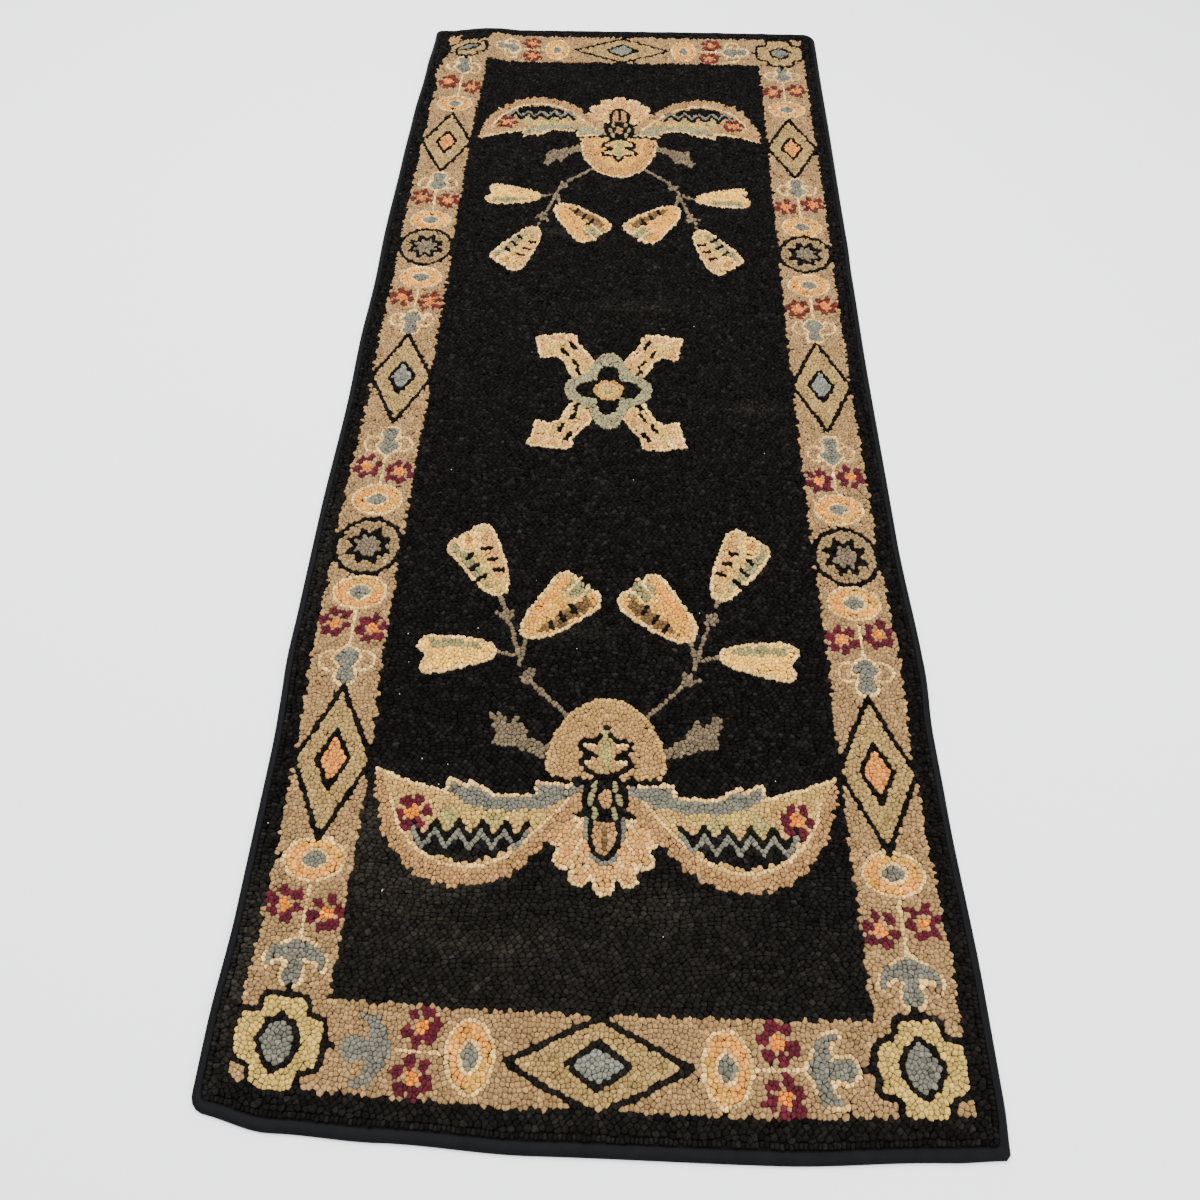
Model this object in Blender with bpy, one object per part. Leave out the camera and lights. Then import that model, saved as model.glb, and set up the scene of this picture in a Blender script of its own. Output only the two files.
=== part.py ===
"""A long hooked rug, lying flat.

Its ground is a hessian cloth hooked all over with short wool loops, and its raw edge is
turned into a folded twill tape that is sewn right round. Metres, +Z up, +Y along the rug's
length. The rug rests on Z = 0, with the middle of its length and width at X = Y = 0.

Every point is first given in the rug's flat cut, as (u, v) across and along it, and then
taken to where it lies: the edges wander, one corner is drawn in and ruckled, and a soft
fold crosses the near half.
"""

from collections import namedtuple
from math import cos, hypot, pi, sin

import bmesh
import bpy

# The whole rug as it lies.
WIDTH = 0.760
LENGTH = 1.874

# Thicknesses and heights. The tape lies GAP off the cloth that it covers, above and below,
# and SIDE_GAP from it where they stand side by side.
GAP = 0.0003
SIDE_GAP = 0.0009
TAPE_THICKNESS = 0.0010
CLOTH_THICKNESS = 0.0016
PILE_HEIGHT = 0.0088

# The tape: how far it shows beside the pile, and how far it reaches underneath.
TAPE_SHOWN = 0.0090
TAPE_SHOWN_NEAR_END = 0.0125
TAPE_UNDER = 0.0258

# The tape's outer face where it folds over the edge, from the floor up. "inset" is a share of
# TAPE_FOLD, and "height" is a share of the turned edge's whole height.
TAPE_FOLD = 0.0015
FacePoint = namedtuple("FacePoint", "inset height")
TAPE_FACE = (
    FacePoint(inset=1.0, height=0.0),
    FacePoint(inset=0.2, height=0.2),
    FacePoint(inset=0.0, height=0.5),
    FacePoint(inset=0.2, height=0.8),
    FacePoint(inset=1.0, height=1.0),
)

# Heights of the turned edge, from the floor up: the tape, the cloth inside it, the tape again.
CLOTH_UNDER = TAPE_THICKNESS + GAP
CLOTH_TOP = CLOTH_UNDER + CLOTH_THICKNESS
TAPE_TOP = CLOTH_TOP + GAP + TAPE_THICKNESS

# The pile's outer edge. "in_from_tape" is measured inwards from where the tape stops
# showing, and "top" is the pile's height there. RIM is where the plain middle of the rug starts.
PileStep = namedtuple("PileStep", "in_from_tape top")
PILE_EDGE = (
    PileStep(in_from_tape=SIDE_GAP, top=CLOTH_TOP),
    PileStep(in_from_tape=0.0015, top=0.0066),
    PileStep(in_from_tape=0.0038, top=0.0080),
    PileStep(in_from_tape=0.0085, top=0.0086),
)
RIM = 0.0280

# The four edges as they wander. "along" is the place on that edge, from the rug's middle,
# and "drawn_in" is how far the edge lies inside the full width or length there.
EdgePoint = namedtuple("EdgePoint", "along drawn_in")
LEFT_EDGE = (
    EdgePoint(-0.937, 0.0018),
    EdgePoint(-0.860, 0.0014),
    EdgePoint(-0.740, 0.0052),
    EdgePoint(-0.560, 0.0052),
    EdgePoint(-0.430, 0.0000),
    EdgePoint(-0.240, 0.0001),
    EdgePoint(-0.030, 0.0040),
    EdgePoint(0.080, 0.0024),
    EdgePoint(0.210, 0.0050),
    EdgePoint(0.320, 0.0034),
    EdgePoint(0.520, 0.0062),
    EdgePoint(0.640, 0.0084),
    EdgePoint(0.790, 0.0182),
    EdgePoint(0.937, 0.0188),
)
RIGHT_EDGE = (
    EdgePoint(-0.937, 0.0026),
    EdgePoint(-0.890, 0.0000),
    EdgePoint(-0.790, 0.0000),
    EdgePoint(-0.600, 0.0050),
    EdgePoint(-0.510, 0.0060),
    EdgePoint(-0.437, 0.0026),
    EdgePoint(-0.250, 0.0088),
    EdgePoint(0.045, 0.0096),
    EdgePoint(0.240, 0.0076),
    EdgePoint(0.320, 0.0056),
    EdgePoint(0.720, 0.0028),
    EdgePoint(0.937, 0.0008),
)
NEAR_EDGE = (
    EdgePoint(-0.380, 0.0292),
    EdgePoint(-0.300, 0.0144),
    EdgePoint(-0.200, 0.0092),
    EdgePoint(-0.060, 0.0024),
    EdgePoint(0.170, 0.0000),
    EdgePoint(0.322, 0.0058),
    EdgePoint(0.380, 0.0088),
)
FAR_EDGE = (
    EdgePoint(-0.380, 0.0104),
    EdgePoint(-0.290, 0.0088),
    EdgePoint(-0.230, 0.0052),
    EdgePoint(-0.100, 0.0024),
    EdgePoint(0.160, 0.0000),
    EdgePoint(0.380, 0.0006),
)

# How far in from an edge its wandering is felt.
EDGE_REACH = 0.30

# Radius of each corner of the flat cut.
LEFT_NEAR_RADIUS = 0.015
RIGHT_NEAR_RADIUS = 0.004
LEFT_FAR_RADIUS = 0.012
RIGHT_FAR_RADIUS = 0.025

# Soft folds. Each has a straight crest from "start" to "end" in the flat cut, stands "height"
# off the floor, and dies out at "left_spread" and "right_spread" from the crest, the two
# sides as seen looking from start to end. Over the outer thirds of its crest it falls to
# "start_share" and "end_share" of its height.
Fold = namedtuple("Fold", "start end height left_spread right_spread start_share end_share")
FOLDS = (
    Fold(start=(-0.380, 0.730), end=(-0.213, 0.922), height=0.0120,
         left_spread=0.100, right_spread=0.085, start_share=0.45, end_share=0.08),
    Fold(start=(-0.380, -0.440), end=(0.380, -0.478), height=0.0026,
         left_spread=0.075, right_spread=0.050, start_share=0.60, end_share=0.60),
)

# Where the folds would lift the rug by less than this, it lies flat on the floor.
LEAST_LIFT = 0.0005

# Spacing of the lines across and along the rug: fine where the corner is ruckled.
FINE_STEP = 0.026
PLAIN_STEP = 0.060
FINE_PART_ENDS_X = -0.130
FINE_PART_STARTS_Y = 0.600

# Steps that the tape takes round a corner, and how near two points are to count as one.
CORNER_STEPS = 8
WELD = 0.00001

# Plain colours and roughness of the wool and of the tape.
BLACK_WOOL = (0.018, 0.016, 0.014)
CHARCOAL_TWILL = (0.034, 0.033, 0.036)
WOOL_ROUGHNESS = 0.95
TWILL_ROUGHNESS = 0.80


def ease(share):
    """Pass smoothly from 0 to 1, level at both ends."""
    share = max(0.0, min(1.0, share))
    return share * share * (3.0 - 2.0 * share)


def edge_inset(points, along):
    """Read an edge's table at one place, passing smoothly from row to row."""
    if along <= points[0].along:
        return points[0].drawn_in
    for before, after in zip(points, points[1:]):
        if along <= after.along:
            share = ease((along - before.along) / (after.along - before.along))
            return before.drawn_in + share * (after.drawn_in - before.drawn_in)
    return points[-1].drawn_in


def felt(distance):
    """Share of an edge's wandering that is felt at a distance in from that edge."""
    return ease(1.0 - distance / EDGE_REACH)


def fold_height(fold, u, v):
    """Height that one fold adds at a point."""
    across = fold.end[0] - fold.start[0]
    along = fold.end[1] - fold.start[1]
    crest = hypot(across, along)
    to_left = (across * (v - fold.start[1]) - along * (u - fold.start[0])) / crest
    spread = fold.left_spread if to_left > 0.0 else fold.right_spread
    if abs(to_left) >= spread:
        return 0.0
    travelled = (across * (u - fold.start[0]) + along * (v - fold.start[1])) / crest / crest
    share = fold.start_share + (1.0 - fold.start_share) * ease(3.0 * travelled)
    share -= (1.0 - fold.end_share) * ease(3.0 * travelled - 2.0)
    return fold.height * share * cos(pi / 2 * to_left / spread) ** 2


def lift(u, v):
    """Height of the rug's underside off the floor. The rim is level across its own width."""
    u = max(-WIDTH / 2 + RIM, min(WIDTH / 2 - RIM, u))
    v = max(-LENGTH / 2 + RIM, min(LENGTH / 2 - RIM, v))
    height = sum(fold_height(fold, u, v) for fold in FOLDS)
    return height if height > LEAST_LIFT else 0.0


def laid(u, v, height):
    """Take a point of the flat cut, at a height in the rug's thickness, to where it lies."""
    left = edge_inset(LEFT_EDGE, v) * felt(u + WIDTH / 2)
    right = edge_inset(RIGHT_EDGE, v) * felt(WIDTH / 2 - u)
    near = edge_inset(NEAR_EDGE, u) * felt(v + LENGTH / 2)
    far = edge_inset(FAR_EDGE, u) * felt(LENGTH / 2 - v)
    return u + left - right, v + near - far, lift(u, v) + height


def corner_radius(right, far):
    """The radius of one corner of the flat cut."""
    if far:
        return RIGHT_FAR_RADIUS if right else LEFT_FAR_RADIUS
    return RIGHT_NEAR_RADIUS if right else LEFT_NEAR_RADIUS


def rounded(from_side, from_end, radius):
    """Round a corner: both distances in from its two edges, moved onto the rounded corner."""
    inset = min(from_side, from_end)
    turn = max(0.0, radius - inset)
    if turn == 0.0 or inset >= RIM:
        return from_side, from_end
    arc = turn * pi / 4
    travelled = (max(from_side, from_end) - inset) / (RIM - inset) * (RIM - inset - turn + arc)
    if travelled < arc:
        angle = pi / 4 - travelled / turn
        wide = inset + turn * (1.0 - sin(angle))
        narrow = inset + turn * (1.0 - cos(angle))
    else:
        wide = inset + turn + travelled - arc
        narrow = inset
    return (narrow, wide) if from_side <= from_end else (wide, narrow)


def flat_place(u, v):
    """Round the corners of the square-cornered grid of lines."""
    right = u > 0.0
    far = v > 0.0
    from_side = WIDTH / 2 - abs(u)
    from_end = LENGTH / 2 - abs(v)
    if from_side < RIM and from_end < RIM:
        from_side, from_end = rounded(from_side, from_end, corner_radius(right, far))
    side = WIDTH / 2 - from_side
    end = LENGTH / 2 - from_end
    return (side if right else -side), (end if far else -end)


def rim_insets(shown):
    """Distances in from the outer edge of the lines that run round the rim."""
    pile = [shown + step.in_from_tape for step in PILE_EDGE]
    return [TAPE_THICKNESS + SIDE_GAP] + pile + [TAPE_UNDER + SIDE_GAP, RIM]


def spaced(start, end, step):
    """Places from start up to but not at end, evenly spaced at about the step."""
    count = max(1, round((end - start) / step))
    return [start + (end - start) * n / count for n in range(count)]


def make_lines(half, start_insets, end_insets, change, step_before, step_after):
    """All the grid lines in one direction, with the rim's lines at both ends."""
    lines = [-half + inset for inset in start_insets[:-1]]
    lines += spaced(-half + RIM, change, step_before)
    lines += spaced(change, half - RIM, step_after)
    lines += [half - inset for inset in reversed(end_insets)]
    return lines


SIDE_INSETS = rim_insets(TAPE_SHOWN)
NEAR_INSETS = rim_insets(TAPE_SHOWN_NEAR_END)
LINES_X = make_lines(WIDTH / 2, SIDE_INSETS, SIDE_INSETS, FINE_PART_ENDS_X, FINE_STEP, PLAIN_STEP)
LINES_Y = make_lines(LENGTH / 2, NEAR_INSETS, SIDE_INSETS, FINE_PART_STARTS_Y, PLAIN_STEP, FINE_STEP)

# Underside and top of the hooked ground at each of the rim's lines, from the edge inwards.
UNDERSIDES = [CLOTH_UNDER] * (len(SIDE_INSETS) - 1)
TOPS = [CLOTH_TOP] + [step.top for step in PILE_EDGE] + [PILE_HEIGHT]


def cloth(name, colour, roughness):
    """A plain cloth material."""
    material = bpy.data.materials.new(name)
    material.use_nodes = True
    surface = material.node_tree.nodes["Principled BSDF"]
    surface.inputs["Base Color"].default_value = (*colour, 1.0)
    surface.inputs["Roughness"].default_value = roughness
    surface.inputs["Metallic"].default_value = 0.0
    return material


def add_part(name, shape, material, collection):
    """Put a finished shape in the scene as one named piece."""
    bmesh.ops.recalc_face_normals(shape, faces=shape.faces)
    mesh = bpy.data.meshes.new(name)
    shape.to_mesh(mesh)
    shape.free()
    mesh.materials.append(material)
    piece = bpy.data.objects.new(name, mesh)
    collection.objects.link(piece)
    return piece


def add_sheet(shape, heights, inner_height):
    """Add one face of the ground: a grid bent to its place, with the rim's heights."""
    columns = len(LINES_X) - 1
    rows = len(LINES_Y) - 1
    grid = bmesh.ops.create_grid(shape, x_segments=columns, y_segments=rows, size=1.0)
    for vertex in grid["verts"]:
        column = round((vertex.co.x + 1.0) / 2 * columns)
        row = round((vertex.co.y + 1.0) / 2 * rows)
        ring = min(column, columns - column, row, rows - row)
        height = heights[ring] if ring < len(heights) else inner_height
        vertex.co = laid(*flat_place(LINES_X[column], LINES_Y[row]), height)


def make_ground(collection):
    """The hessian and its loops: one slab, thin at the rim where the tape folds over it."""
    shape = bmesh.new()
    add_sheet(shape, UNDERSIDES, 0.0)
    bmesh.ops.reverse_faces(shape, faces=shape.faces)
    add_sheet(shape, TOPS, PILE_HEIGHT)
    edge = [each for each in shape.edges if each.is_boundary]
    bmesh.ops.bridge_loops(shape, edges=edge)
    wool = cloth("black_wool", BLACK_WOOL, WOOL_ROUGHNESS)
    return add_part("hooked_ground", shape, wool, collection)


def tape_section(shown):
    """The folded tape cut across: inset and height, round its outer face and back inside."""
    face = [(TAPE_FOLD * point.inset, TAPE_TOP * point.height) for point in TAPE_FACE]
    upper_flap = [
        (shown, TAPE_TOP),
        (shown, TAPE_TOP - TAPE_THICKNESS),
        (TAPE_THICKNESS + GAP, TAPE_TOP - TAPE_THICKNESS),
    ]
    lower_flap = [
        (TAPE_THICKNESS, TAPE_TOP / 2),
        (TAPE_THICKNESS + GAP, TAPE_THICKNESS),
        (TAPE_UNDER, TAPE_THICKNESS),
    ]
    return [(TAPE_UNDER, 0.0)] + face + upper_flap + lower_flap


# A cut across the tape. "across" is -1 for the left edge, 1 for the right, and "along" is -1
# for the near end, 1 for the far one. "turn" runs from 0 on the edge beside a corner to 1 on
# the end beside it, and "place" is the line that a straight stretch's cut lies on.
Cut = namedtuple("Cut", "across along turn place", defaults=(0, 0, None, None))


def tape_cuts():
    """The cuts across the tape, anticlockwise from the near left corner."""
    turns = [step / CORNER_STEPS for step in range(CORNER_STEPS + 1)]
    straight_x = [x for x in LINES_X if abs(x) < WIDTH / 2 - RIM - WELD]
    straight_y = [y for y in LINES_Y if abs(y) < LENGTH / 2 - RIM - WELD]
    cuts = [Cut(across=-1, along=-1, turn=turn) for turn in turns]
    cuts += [Cut(along=-1, place=x) for x in straight_x]
    cuts += [Cut(across=1, along=-1, turn=1.0 - turn) for turn in turns]
    cuts += [Cut(across=1, place=y) for y in straight_y]
    cuts += [Cut(across=1, along=1, turn=turn) for turn in turns]
    cuts += [Cut(along=1, place=x) for x in reversed(straight_x)]
    cuts += [Cut(across=-1, along=1, turn=1.0 - turn) for turn in turns]
    cuts += [Cut(across=-1, place=y) for y in reversed(straight_y)]
    return cuts


def tape_point(cut, point):
    """One point of the tape's section, at one cut, where it lies on the finished rug."""
    side_inset, height = tape_section(TAPE_SHOWN)[point]
    end_inset = tape_section(TAPE_SHOWN_NEAR_END if cut.along < 0 else TAPE_SHOWN)[point][0]
    if cut.turn is None and cut.across:
        return laid(cut.across * (WIDTH / 2 - side_inset), cut.place, height)
    if cut.turn is None:
        return laid(cut.place, cut.along * (LENGTH / 2 - end_inset), height)
    from_side = side_inset + max(0.0, 2.0 * cut.turn - 1.0) * (RIM - side_inset)
    from_end = end_inset + max(0.0, 1.0 - 2.0 * cut.turn) * (RIM - end_inset)
    u = cut.across * (WIDTH / 2 - from_side)
    v = cut.along * (LENGTH / 2 - from_end)
    return laid(*flat_place(u, v), height)


def make_binding(collection):
    """The twill tape: one closed band, folded round the edge of the cloth."""
    cuts = tape_cuts()
    points = len(tape_section(TAPE_SHOWN))
    shape = bmesh.new()
    grid = bmesh.ops.create_grid(shape, x_segments=len(cuts), y_segments=points, size=1.0)
    for vertex in grid["verts"]:
        cut = round((vertex.co.x + 1.0) / 2 * len(cuts)) % len(cuts)
        point = round((vertex.co.y + 1.0) / 2 * points) % points
        vertex.co = tape_point(cuts[cut], point)
    bmesh.ops.remove_doubles(shape, verts=shape.verts, dist=WELD)
    twill = cloth("charcoal_twill", CHARCOAL_TWILL, TWILL_ROUGHNESS)
    return add_part("edge_binding", shape, twill, collection)


def main():
    for old in list(bpy.data.objects):
        bpy.data.objects.remove(old, do_unlink=True)
    rug = bpy.data.collections.new("hooked_rug")
    bpy.context.scene.collection.children.link(rug)
    make_ground(rug)
    make_binding(rug)


main()
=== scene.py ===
from collections import namedtuple
from math import cos, hypot, pi, radians, sin

import bpy
import numpy as np
from mathutils import Matrix, Vector


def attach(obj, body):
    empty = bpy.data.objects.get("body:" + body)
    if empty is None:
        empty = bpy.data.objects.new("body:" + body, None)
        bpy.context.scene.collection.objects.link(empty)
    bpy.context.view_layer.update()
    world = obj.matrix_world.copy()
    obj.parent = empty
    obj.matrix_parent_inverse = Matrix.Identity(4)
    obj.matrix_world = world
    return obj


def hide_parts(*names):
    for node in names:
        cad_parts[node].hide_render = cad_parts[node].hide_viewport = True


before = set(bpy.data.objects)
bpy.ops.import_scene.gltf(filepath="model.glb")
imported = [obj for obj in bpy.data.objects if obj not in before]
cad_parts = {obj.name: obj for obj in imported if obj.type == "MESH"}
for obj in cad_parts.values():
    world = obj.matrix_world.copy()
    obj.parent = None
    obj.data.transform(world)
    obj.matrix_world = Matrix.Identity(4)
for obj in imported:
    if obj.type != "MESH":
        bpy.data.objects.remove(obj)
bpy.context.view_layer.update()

# ---- The hessian ----
# The ground is one plain-woven jute cloth, cut a little smaller than the rug and hooked all
# over. It lies flat but for a faint fold across its near half and a ruckle that draws in its
# far left corner, and its edges wander from being pulled and walked on.
WIDTH = 0.760
LENGTH = 1.874
CLOTH_INSET = 0.0019
CLOTH_THICKNESS = 0.0016
CLOTH_OVER_TAPE = 0.0013
CLOTH_OFF_FLOOR = 0.0002
CLOTH_CELLS = (64, 156)
TAPE_ENDS = 0.0270
CLOTH_IS_DOWN = 0.0420
EDGE_REACH = 0.30
RIM = 0.0280
LEAST_LIFT = 0.0005

# Places along each edge, and how far the edge is drawn in there. Millimetres.
LEFT_EDGE = ((-937, 1.8), (-860, 1.4), (-740, 5.2), (-560, 5.2), (-430, 0.0), (-240, 0.1), (-30, 4.0),
             (80, 2.4), (210, 5.0), (320, 3.4), (520, 6.2), (640, 8.4), (790, 18.2), (937, 18.8))
RIGHT_EDGE = ((-937, 2.6), (-890, 0.0), (-790, 0.0), (-600, 5.0), (-510, 6.0), (-437, 2.6),
              (-250, 8.8), (45, 9.6), (240, 7.6), (320, 5.6), (720, 2.8), (937, 0.8))
NEAR_EDGE = ((-380, 29.2), (-300, 14.4), (-200, 9.2), (-60, 2.4), (170, 0.0), (322, 5.8), (380, 8.8))
FAR_EDGE = ((-380, 10.4), (-290, 8.8), (-230, 5.2), (-100, 2.4), (160, 0.0), (380, 0.6))
Fold = namedtuple("Fold", "start end height left_spread right_spread start_share end_share")
FOLDS = (
    Fold(start=(-0.380, 0.730), end=(-0.213, 0.922), height=0.0120,
         left_spread=0.100, right_spread=0.085, start_share=0.45, end_share=0.08),
    Fold(start=(-0.380, -0.440), end=(0.380, -0.478), height=0.0026,
         left_spread=0.075, right_spread=0.050, start_share=0.60, end_share=0.60),
)
# The radii of the left and the right corner.
NEAR_RADII = (0.015, 0.004)
FAR_RADII = (0.012, 0.025)


def ease(share):
    """Pass smoothly from 0 to 1, level at both ends."""
    share = np.clip(share, 0.0, 1.0)
    return share * share * (3.0 - 2.0 * share)


def edge_inset(edge, along):
    """Read an edge's table, passing smoothly from row to row."""
    places, insets = 0.001 * np.array(edge).T
    along = np.clip(along, places[0], places[-1])
    after = np.clip(np.searchsorted(places, along), 1, len(places) - 1)
    share = ease((along - places[after - 1]) / (places[after] - places[after - 1]))
    return insets[after - 1] + share * (insets[after] - insets[after - 1])


def felt(distance):
    """Share of an edge's wandering that is felt at a distance in from that edge."""
    return ease(1.0 - distance / EDGE_REACH)


def fold_height(fold, u, v):
    """Height that one fold adds."""
    across = fold.end[0] - fold.start[0]
    along = fold.end[1] - fold.start[1]
    crest = hypot(across, along)
    to_left = (across * (v - fold.start[1]) - along * (u - fold.start[0])) / crest
    spread = np.where(to_left > 0.0, fold.left_spread, fold.right_spread)
    travelled = (across * (u - fold.start[0]) + along * (v - fold.start[1])) / crest / crest
    share = fold.start_share + (1.0 - fold.start_share) * ease(3.0 * travelled)
    share = share - (1.0 - fold.end_share) * ease(3.0 * travelled - 2.0)
    wave = np.cos(pi / 2 * np.clip(to_left / spread, -1.0, 1.0)) ** 2
    return fold.height * share * wave


def lift(u, v):
    """Height of the rug's underside off the floor. The rim is level across its own width."""
    u = np.clip(u, -WIDTH / 2 + RIM, WIDTH / 2 - RIM)
    v = np.clip(v, -LENGTH / 2 + RIM, LENGTH / 2 - RIM)
    height = sum(fold_height(fold, u, v) for fold in FOLDS)
    return np.where(height > LEAST_LIFT, height, 0.0)


def laid(u, v, height):
    """Take points of the flat cut, at a height in the rug's thickness, to where they lie."""
    left = edge_inset(LEFT_EDGE, v) * felt(u + WIDTH / 2)
    right = edge_inset(RIGHT_EDGE, v) * felt(WIDTH / 2 - u)
    near = edge_inset(NEAR_EDGE, u) * felt(v + LENGTH / 2)
    far = edge_inset(FAR_EDGE, u) * felt(LENGTH / 2 - v)
    return np.stack([u + left - right, v + near - far, lift(u, v) + height], axis=-1)


def corner_radius(u, v):
    """The radius of the corner that a point is nearest to."""
    left, right = np.where(v > 0.0, np.array([FAR_RADII]).T, np.array([NEAR_RADII]).T)
    return np.where(u > 0.0, right, left)


def rounded(u, v):
    """Move the points of a square-cornered grid so that the rug's corners are round."""
    across = np.maximum(np.abs(u) - (WIDTH / 2 - RIM), 0.0)
    along = np.maximum(np.abs(v) - (LENGTH / 2 - RIM), 0.0)
    reach = np.maximum(np.maximum(across, along), 1e-9)
    turn = np.clip(corner_radius(u, v) - (RIM - reach), 0.0, reach)
    straight = reach - turn
    angle = np.arctan2(along, across)
    middle = straight * (np.cos(angle) + np.sin(angle))
    on_arc = middle + np.sqrt(np.maximum(middle**2 - 2 * straight**2 + turn**2, 0.0))
    on_side = reach / np.maximum(np.cos(angle), np.sin(angle))
    on_corner = np.minimum(across, along) > straight
    length = np.where(on_corner, on_arc, on_side)
    inside = (across == 0.0) | (along == 0.0)
    new_u = np.where(inside, u, np.sign(u) * (WIDTH / 2 - RIM + length * np.cos(angle)))
    new_v = np.where(inside, v, np.sign(v) * (LENGTH / 2 - RIM + length * np.sin(angle)))
    return new_u, new_v


def vertices_of(piece):
    """The places of a mesh's vertices, as an array."""
    places = np.empty(len(piece.data.vertices) * 3)
    piece.data.vertices.foreach_get("co", places)
    return places.reshape(-1, 3)


def move_vertices(piece, places):
    """Put a mesh's vertices in new places."""
    piece.data.vertices.foreach_set("co", places.ravel())
    piece.data.update()


def new_grid(name, across, along):
    """A flat square grid, one metre wide."""
    bpy.ops.object.select_all(action="DESELECT")
    bpy.ops.mesh.primitive_grid_add(x_subdivisions=across, y_subdivisions=along, size=1.0)
    grid = bpy.context.object
    grid.name = name
    return grid


def thicken(piece, thickness, offset):
    """Give a thin sheet its thickness, and finish it smooth."""
    solid = piece.modifiers.new("thickness", "SOLIDIFY")
    solid.thickness = thickness
    solid.offset = offset
    bpy.ops.object.modifier_apply(modifier=solid.name)
    piece.data.shade_smooth()


def new_material(name, colour, roughness, sheen=0.0, gloss=0.2):
    """A matt material, with its even values on the shader itself."""
    material = bpy.data.materials.new(name)
    material.use_nodes = True
    surface = material.node_tree.nodes["Principled BSDF"]
    surface.inputs["Base Color"].default_value = (*colour, 1.0)
    surface.inputs["Roughness"].default_value = roughness
    surface.inputs["Specular IOR Level"].default_value = gloss
    surface.inputs["Sheen Weight"].default_value = sheen
    surface.inputs["Sheen Roughness"].default_value = 0.45
    return material


def add_node(material, kind, links=(), **values):
    """Add a node. Its links are (its input, other node, other node's output)."""
    node = material.node_tree.nodes.new("ShaderNode" + kind)
    for name, value in values.items():
        if hasattr(node, name):
            setattr(node, name, value)
        else:
            node.inputs[name.replace("_", " ")].default_value = value
    for socket, other, output in links:
        material.node_tree.links.new(other.outputs[output], node.inputs[socket])
    return node


def finish_surface(material, colour=None, bump_height=None, strength=0.5, distance=0.001):
    """Link a colour (node, output) and a bump height (node, output) to the shader."""
    surface = material.node_tree.nodes["Principled BSDF"]
    links = material.node_tree.links
    if colour:
        links.new(colour[0].outputs[colour[1]], surface.inputs["Base Color"])
    if bump_height:
        bump = add_node(material, "Bump", Strength=strength, Distance=distance)
        links.new(bump_height[0].outputs[bump_height[1]], bump.inputs["Height"])
        links.new(bump.outputs["Normal"], surface.inputs["Normal"])


def add_piece_to_rug(piece):
    """Let a finished piece lie with the rug."""
    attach(piece, "root")


hessian = new_grid("hessian_cloth", *CLOTH_CELLS)
flat = vertices_of(hessian)
cloth_u = flat[:, 0] * (WIDTH - 2 * CLOTH_INSET)
cloth_v = flat[:, 1] * (LENGTH - 2 * CLOTH_INSET)
cloth_inset = np.minimum(WIDTH / 2 - np.abs(cloth_u), LENGTH / 2 - np.abs(cloth_v))
over_tape = ease((CLOTH_IS_DOWN - cloth_inset) / (CLOTH_IS_DOWN - TAPE_ENDS))
cloth_height = CLOTH_OFF_FLOOR + (CLOTH_OVER_TAPE - CLOTH_OFF_FLOOR) * over_tape
move_vertices(hessian, laid(*rounded(cloth_u, cloth_v), cloth_height))
thicken(hessian, CLOTH_THICKNESS, 1.0)

THREADS_PER_METRE = 520.0
WAVES_PER_SCALE = 20.0
JUTE = (0.200, 0.135, 0.072)
JUTE_DARK = (0.085, 0.055, 0.030)
# Near-black for the hessian's upper face: painted shade in the gaps between the loops.
PAINTED_GAP_SHADE = (0.0050, 0.0044, 0.0036)
LEAST_UPWARD = 0.3


def two_colours(material, by, output, first, second):
    """Two colours, mixed by another node's output."""
    return add_node(material, "Mix", [("Factor", by, output)], data_type="RGBA",
                    A=(*first, 1.0), B=(*second, 1.0))


def weave(material, threads):
    """Threads over and under each other: the higher of two sets of ridges."""
    place = add_node(material, "TexCoord")
    ridges = [add_node(material, "TexWave", [("Vector", place, "Object")],
                       bands_direction=way, Scale=threads / WAVES_PER_SCALE, Distortion=1.2, Detail=2.0)
              for way in ("X", "Y")]
    return add_node(material, "Math", [(0, ridges[0], "Fac"), (1, ridges[1], "Fac")],
                    operation="MAXIMUM")


jute = new_material("jute_hessian", JUTE, 0.92, sheen=0.2)
jute_weave = weave(jute, THREADS_PER_METRE)
jute_colour = two_colours(jute, jute_weave, "Value", JUTE_DARK, JUTE)
finish_surface(jute, (jute_colour, "Result"), (jute_weave, "Value"), 0.6, 0.0006)
shaded_hessian = new_material("hessian_painted_dark_under_pile", PAINTED_GAP_SHADE, 0.95)
shaded_hessian_weave = weave(shaded_hessian, THREADS_PER_METRE)
finish_surface(shaded_hessian, None, (shaded_hessian_weave, "Value"), 0.4, 0.0004)
hessian.data.materials.append(jute)
hessian.data.materials.append(shaded_hessian)
# Faces that look up take the near-black painted shade; the rest show the jute.
for face in hessian.data.polygons:
    face.material_index = 1 if face.normal.z > LEAST_UPWARD else 0
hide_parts("hooked_ground")
add_piece_to_rug(hessian)

# ---- The edge tape ----
# A strip of charcoal cotton twill tape, folded over the hessian's raw edge, slip-stitched to
# both faces and joined end to end. It bulges a little into a soft roll where it shows beside
# the pile, and puckers slightly between the stitches.
TAPE_THICKNESS = 0.0010
TAPE_SHOWN = 0.0090
TAPE_SHOWN_NEAR_END = 0.0125
TAPE_UNDER = 0.0258
TAPE_STEP = 0.0105
CORNER_STEPS = 9
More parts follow.
